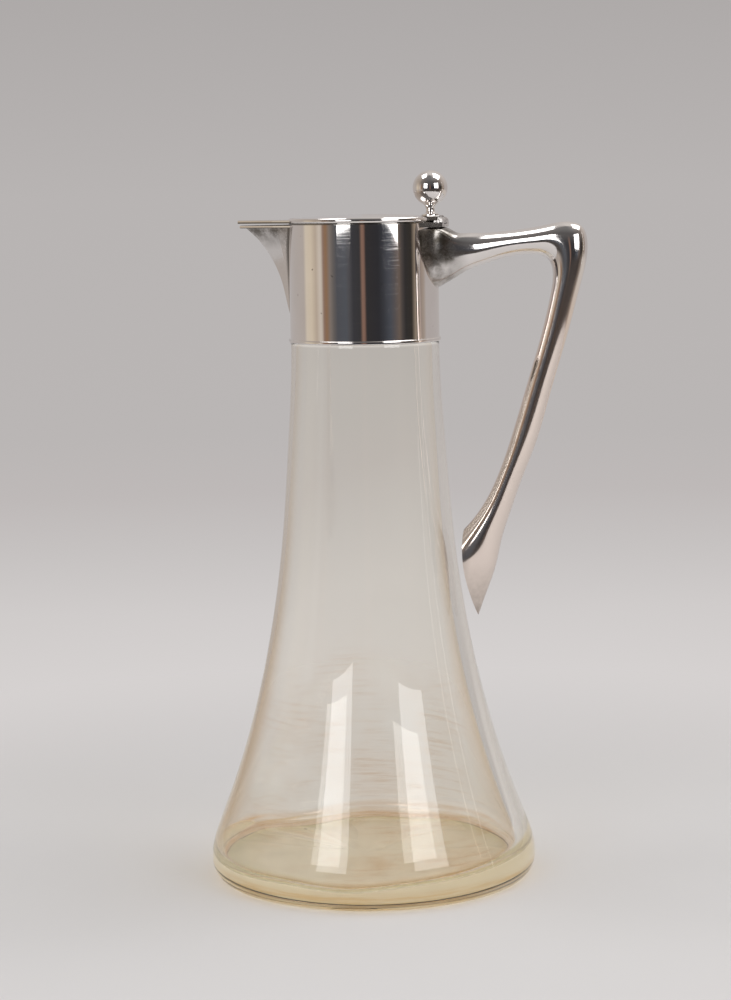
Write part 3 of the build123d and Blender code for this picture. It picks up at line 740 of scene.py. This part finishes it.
# Colours of the room by degrees from the front to the right: at eye level, and then on
# what takes over below it and above it, between two rises (sines of the elevation)
eye_level = (
    (-180, "#B9B5B5"), (-106, "#B8B0AA"), (-100, "#D6CBBA"), (-89, "#D6C9B5"),
    (-79, "#BEB0A0"), (-72, "#D2C8BC"), (-69, "#CCC2B6"), (-65, "#927A6C"), (-60, "#937459"),
    (-54, "#857C76"), (-48, "#6A6664"), (-42, "#54565C"), (-28, "#555960"), (-24, "#545458"),
    (-17, "#3E3E42"), (-6, "#3C3B3D"), (-3, "#8A6E60"), (0, "#84685C"), (3, "#363435"),
    (22, "#323236"), (30, "#3C3E44"), (40, "#4C5058"), (47, "#5A5658"), (55, "#6C6058"),
    (60, "#504A48"), (66, "#363434"), (78, "#383430"), (86, "#9C8E7E"), (92, "#5A4B3E"),
    (99, "#A2948A"), (104, "#A89C92"), (110, "#B8B2B0"),
)
table_top = (
    (-180, "#B4B0AE"), (-60, "#B0A69E"), (-45, "#4C4846"), (60, "#463F3C"), (80, "#84786E"),
    (100, "#D0C8C0"), (180, "#C4C0BE"),
)
upper_walls = (
    (-180, "#C6C1BF"), (-120, "#B4ABA2"), (-85, "#A89C90"), (-70, "#827A74"), (-50, "#706A66"),
    (-20, "#5C5A5A"), (20, "#5A5858"), (60, "#6E6864"), (80, "#8C827C"), (100, "#BAB0A8"),
    (140, "#CCC6C2"), (180, "#CCC6C2"),
)
ceiling = (
    (-180, "#DCD8D4"), (-100, "#B0ACAA"), (-50, "#7C7A7A"), (0, "#787878"), (60, "#A8A4A2"),
    (120, "#DCD8D4"), (180, "#DCD8D4"),
)
# The plain backdrop, by rise
backdrop_tones = (
    (-0.25, "#D0CDCB"), (-0.20, "#D4D0CF"), (-0.165, "#D0CCCB"), (-0.14, "#C6C2C1"),
    (-0.118, "#BEB9B8"), (-0.094, "#BAB6B5"), (0.0, "#B8B4B3"), (0.03, "#B4B0AF"),
    (0.075, "#AEAAA9"), (0.15, "#ACA8A7"),
)


def sees_backdrop(tree):
    """1 for the camera's own rays and those through glass, which see the plain backdrop."""
    ray = add(tree, "ShaderNodeLightPath")
    return add(tree, "ShaderNodeMath", {
        0: ray.outputs["Is Camera Ray"], 1: ray.outputs["Is Transmission Ray"]},
        operation="MAXIMUM")


world = bpy.data.worlds.new("studio")
bpy.context.scene.world = world
tree = new_tree(world)
way = add(tree, "ShaderNodeTexCoord").outputs["Generated"]
turned = add(tree, "ShaderNodeVectorRotate", {
    "Vector": way, "Angle": -front_azimuth}, rotation_type="Z_AXIS")
parts = add(tree, "ShaderNodeSeparateXYZ", {"Vector": turned})
ahead = add(tree, "ShaderNodeMath", {0: parts.outputs["Y"], 1: -1.0}, operation="MULTIPLY")
angle = add(tree, "ShaderNodeMath", {0: parts.outputs["X"], 1: ahead}, operation="ARCTAN2")
around = add(tree, "ShaderNodeMapRange", {
    "Value": angle, "From Min": -math.pi, "From Max": math.pi})
room = add(tree, "ShaderNodeValToRGB", {"Fac": around}, stops=eye_level, span=(-180, 180))
for begins, full, stops in (
        (-0.1, -0.2, table_top), (0.07, 0.45, upper_walls), (0.6, 0.95, ceiling)):
    share = add(tree, "ShaderNodeMapRange", {
        "Value": parts.outputs["Z"], "From Min": begins, "From Max": full})
    level = add(tree, "ShaderNodeValToRGB", {"Fac": around}, stops=stops, span=(-180, 180))
    room = add(tree, "ShaderNodeMix", {"Factor": share, "A": room, "B": level}, data_type="RGBA")
lowest, highest = backdrop_tones[0][0], backdrop_tones[-1][0]
rise = add(tree, "ShaderNodeMapRange", {
    "Value": parts.outputs["Z"], "From Min": lowest, "From Max": highest})
backdrop = add(tree, "ShaderNodeValToRGB", {
    "Fac": rise}, stops=backdrop_tones, span=(lowest, highest))
mirrored = add(tree, "ShaderNodeLightPath").outputs["Is Glossy Ray"]
unseen = add(tree, "ShaderNodeMix", {
    "Factor": mirrored, "A": srgb("#A5A5A5"), "B": room}, data_type="RGBA")
light = add(tree, "ShaderNodeMix", {
    "Factor": sees_backdrop(tree), "A": unseen, "B": backdrop}, data_type="RGBA")
sky = add(tree, "ShaderNodeBackground", {"Color": light, "Strength": 1.0})
add(tree, "ShaderNodeOutputWorld", {"Surface": sky})

# Matt paper that keeps the jug's shadow near it and, further out, turns into the
# backdrop's own colour for the eye, so that no edge shows between the two
floor_radius = 0.74
floor_drop = 0.0002                 # just under the foot, so that the faces don't coincide
floor_sides = 96
floor_rim = [
    (floor_radius * math.cos(i * math.tau / floor_sides),
     floor_radius * math.sin(i * math.tau / floor_sides), -floor_drop)
    for i in range(floor_sides)
]
mesh = bpy.data.meshes.new("floor")
mesh.from_pydata(floor_rim, [], [range(floor_sides)])
floor = bpy.data.objects.new("floor", mesh)
bpy.context.scene.collection.objects.link(floor)
paper = bpy.data.materials.new("floor_paper")
tree = new_tree(paper)
place = add(tree, "ShaderNodeTexCoord").outputs["Object"]
away = add(tree, "ShaderNodeVectorMath", {0: place}, operation="LENGTH")
fade = add(tree, "ShaderNodeMapRange", {
    "Value": away, "From Min": 0.12, "From Max": 0.50}, interpolation_type="SMOOTHSTEP")
far = add(tree, "ShaderNodeMapRange", {
    "Value": away, "From Min": 0.50, "From Max": floor_radius})
shade = add(tree, "ShaderNodeMix", {
    "Factor": far, "A": srgb("#D5D1D0"), "B": srgb("#D0CCCB")}, data_type="RGBA")
matt = add(tree, "ShaderNodeBsdfDiffuse", {"Color": srgb("#D9D6D5")})
plain = add(tree, "ShaderNodeEmission", {"Color": shade})
seen = add(tree, "ShaderNodeMath", {0: fade, 1: sees_backdrop(tree)}, operation="MULTIPLY")
sheet = add(tree, "ShaderNodeMixShader", {0: seen, 1: matt, 2: plain})
add(tree, "ShaderNodeOutputMaterial", {"Surface": sheet})
mesh.materials.append(paper)

# ---------------------------------------------------------------- camera
# A 90 mm lens on a 36 mm tall frame, 1.13 m from the jug and level with the ball, turned
# 14 degrees round from the side view, looking 7 degrees down and rolled by one degree.

camera_distance = 1.128
camera_height = 0.3106
camera_shift = -0.00105
pitch = math.radians(7.0)
roll = math.radians(1.0)
lens = bpy.data.cameras.new("camera")
lens.sensor_fit = "VERTICAL"
lens.sensor_height = 36.0
lens.lens = 90.0
camera = bpy.data.objects.new("camera", lens)
bpy.context.scene.collection.objects.link(camera)
look = -front * math.cos(pitch) - up * math.sin(pitch)
tall = -front * math.sin(pitch) + up * math.cos(pitch)
right = side * math.cos(roll) - tall * math.sin(roll)
above = side * math.sin(roll) + tall * math.cos(roll)
camera.matrix_world = Matrix.Translation(
    front * camera_distance + side * camera_shift + up * camera_height
) @ Matrix((right, above, -look)).transposed().to_4x4()
bpy.context.scene.camera = camera
bpy.context.scene.view_settings.view_transform = "Standard"
